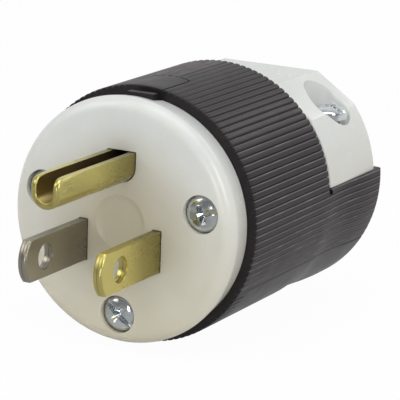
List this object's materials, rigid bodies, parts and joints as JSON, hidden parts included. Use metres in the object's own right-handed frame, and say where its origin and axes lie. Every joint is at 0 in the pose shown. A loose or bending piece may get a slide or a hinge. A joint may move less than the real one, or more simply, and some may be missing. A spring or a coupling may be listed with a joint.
{
  "type": "type b plug",
  "caption": "Straight-blade cord plug with flat blades and a U-shaped grounding pin in a white face, a ribbed black barrel and a white cord clamp at the rear.",
  "frame": {"origin": "middle of the face that meets the outlet, on the axis of the round barrel", "axes": "+Y from the face to the cord opening, so the blades point to -Y; +Z towards the grounding pin; +X to the line blade, on the right when the face is seen from the front"},
  "size_m": [0.0405, 0.0717, 0.0401],
  "materials": {
    "cap_plastic": "glossy",
    "barrier_plastic": "matt",
    "housing_plastic": "satin",
    "nickel": "nickel plated, satin",
    "brass": "satin",
    "zinc_steel": "bright zinc plated",
    "green_steel": "green dyed zinc plated"
  },
  "bodies": {
    "root": {"front_cap": "cap_plastic", "terminal_barrier": "barrier_plastic", "housing": "housing_plastic", "cord_clamp": "cap_plastic", "neutral_blade": "nickel", "line_blade": "brass", "ground_pin": "brass", "neutral_terminal_screw": "zinc_steel", "neutral_pressure_plate": "zinc_steel", "line_terminal_screw": "brass", "line_pressure_plate": "brass", "ground_terminal_screw": "green_steel", "ground_pressure_plate": "brass", "left_assembly_screw": "zinc_steel", "left_body_insert": "brass", "right_assembly_screw": "zinc_steel", "right_body_insert": "brass", "lower_assembly_screw": "zinc_steel", "lower_body_insert": "brass", "left_clamp_screw": "zinc_steel", "left_clamp_insert": "brass", "right_clamp_screw": "zinc_steel", "right_clamp_insert": "brass"}
  },
  "joints": []
}
